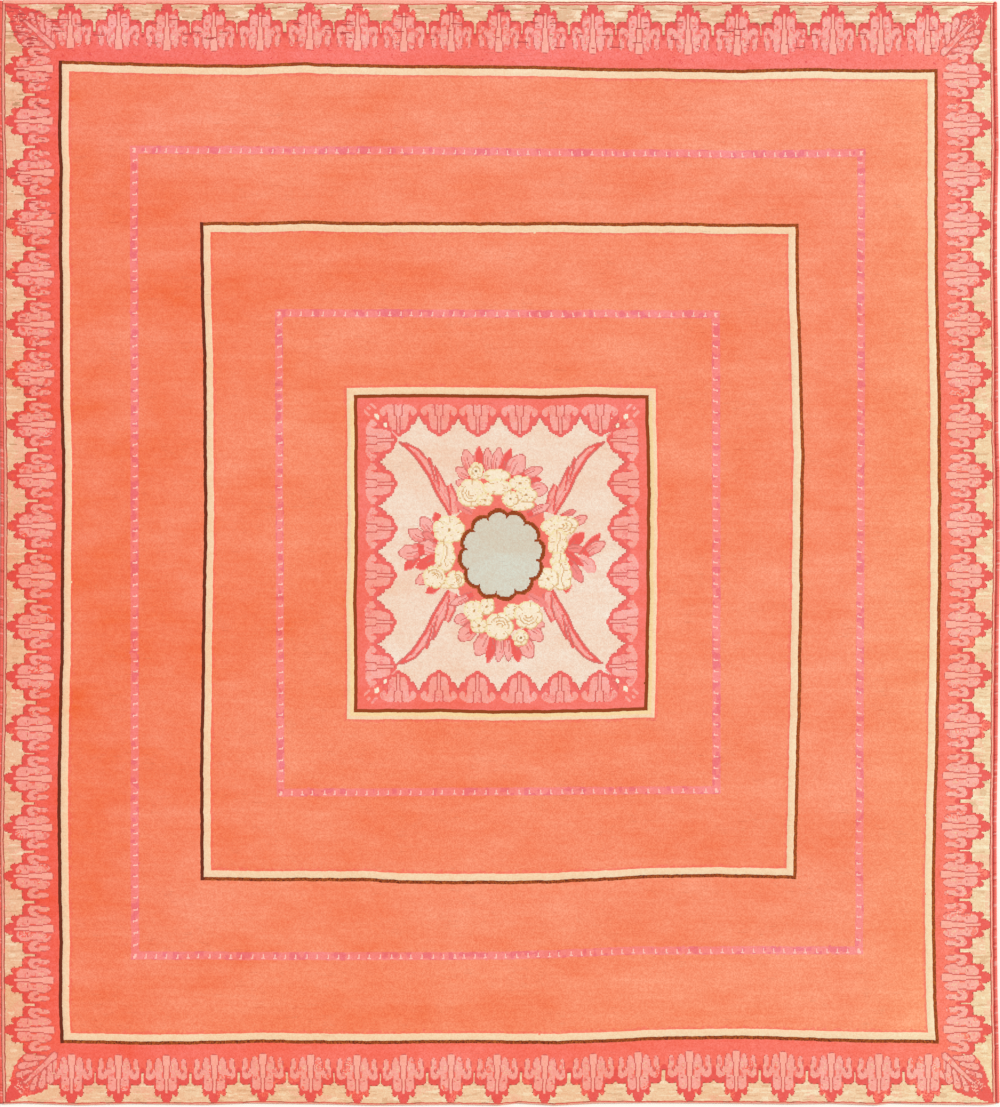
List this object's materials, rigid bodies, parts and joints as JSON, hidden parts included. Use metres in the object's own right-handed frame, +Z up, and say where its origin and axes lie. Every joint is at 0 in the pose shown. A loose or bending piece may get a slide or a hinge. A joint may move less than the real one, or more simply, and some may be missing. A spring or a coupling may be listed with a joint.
{
  "type": "art deco carpet",
  "caption": "Room-size hand-knotted wool carpet, laid flat, with a leaf border, beaded lines and plain frames round a square medallion, and overcast side cords.",
  "frame": {"origin": "on the floor under the middle of the carpet's outline", "axes": "+X to the carpet's right as seen from above with its top end away, +Y along its length towards the top end, +Z up out of the pile"},
  "size_m": [3.5136, 3.8712, 0.0128],
  "materials": {
    "wool_pile": "matt clipped wool pile",
    "cord_wool": "matt wrapped wool yarn"
  },
  "bodies": {
    "root": {"carpet": "wool_pile", "overcast_left": "cord_wool", "overcast_right": "cord_wool"}
  },
  "joints": []
}
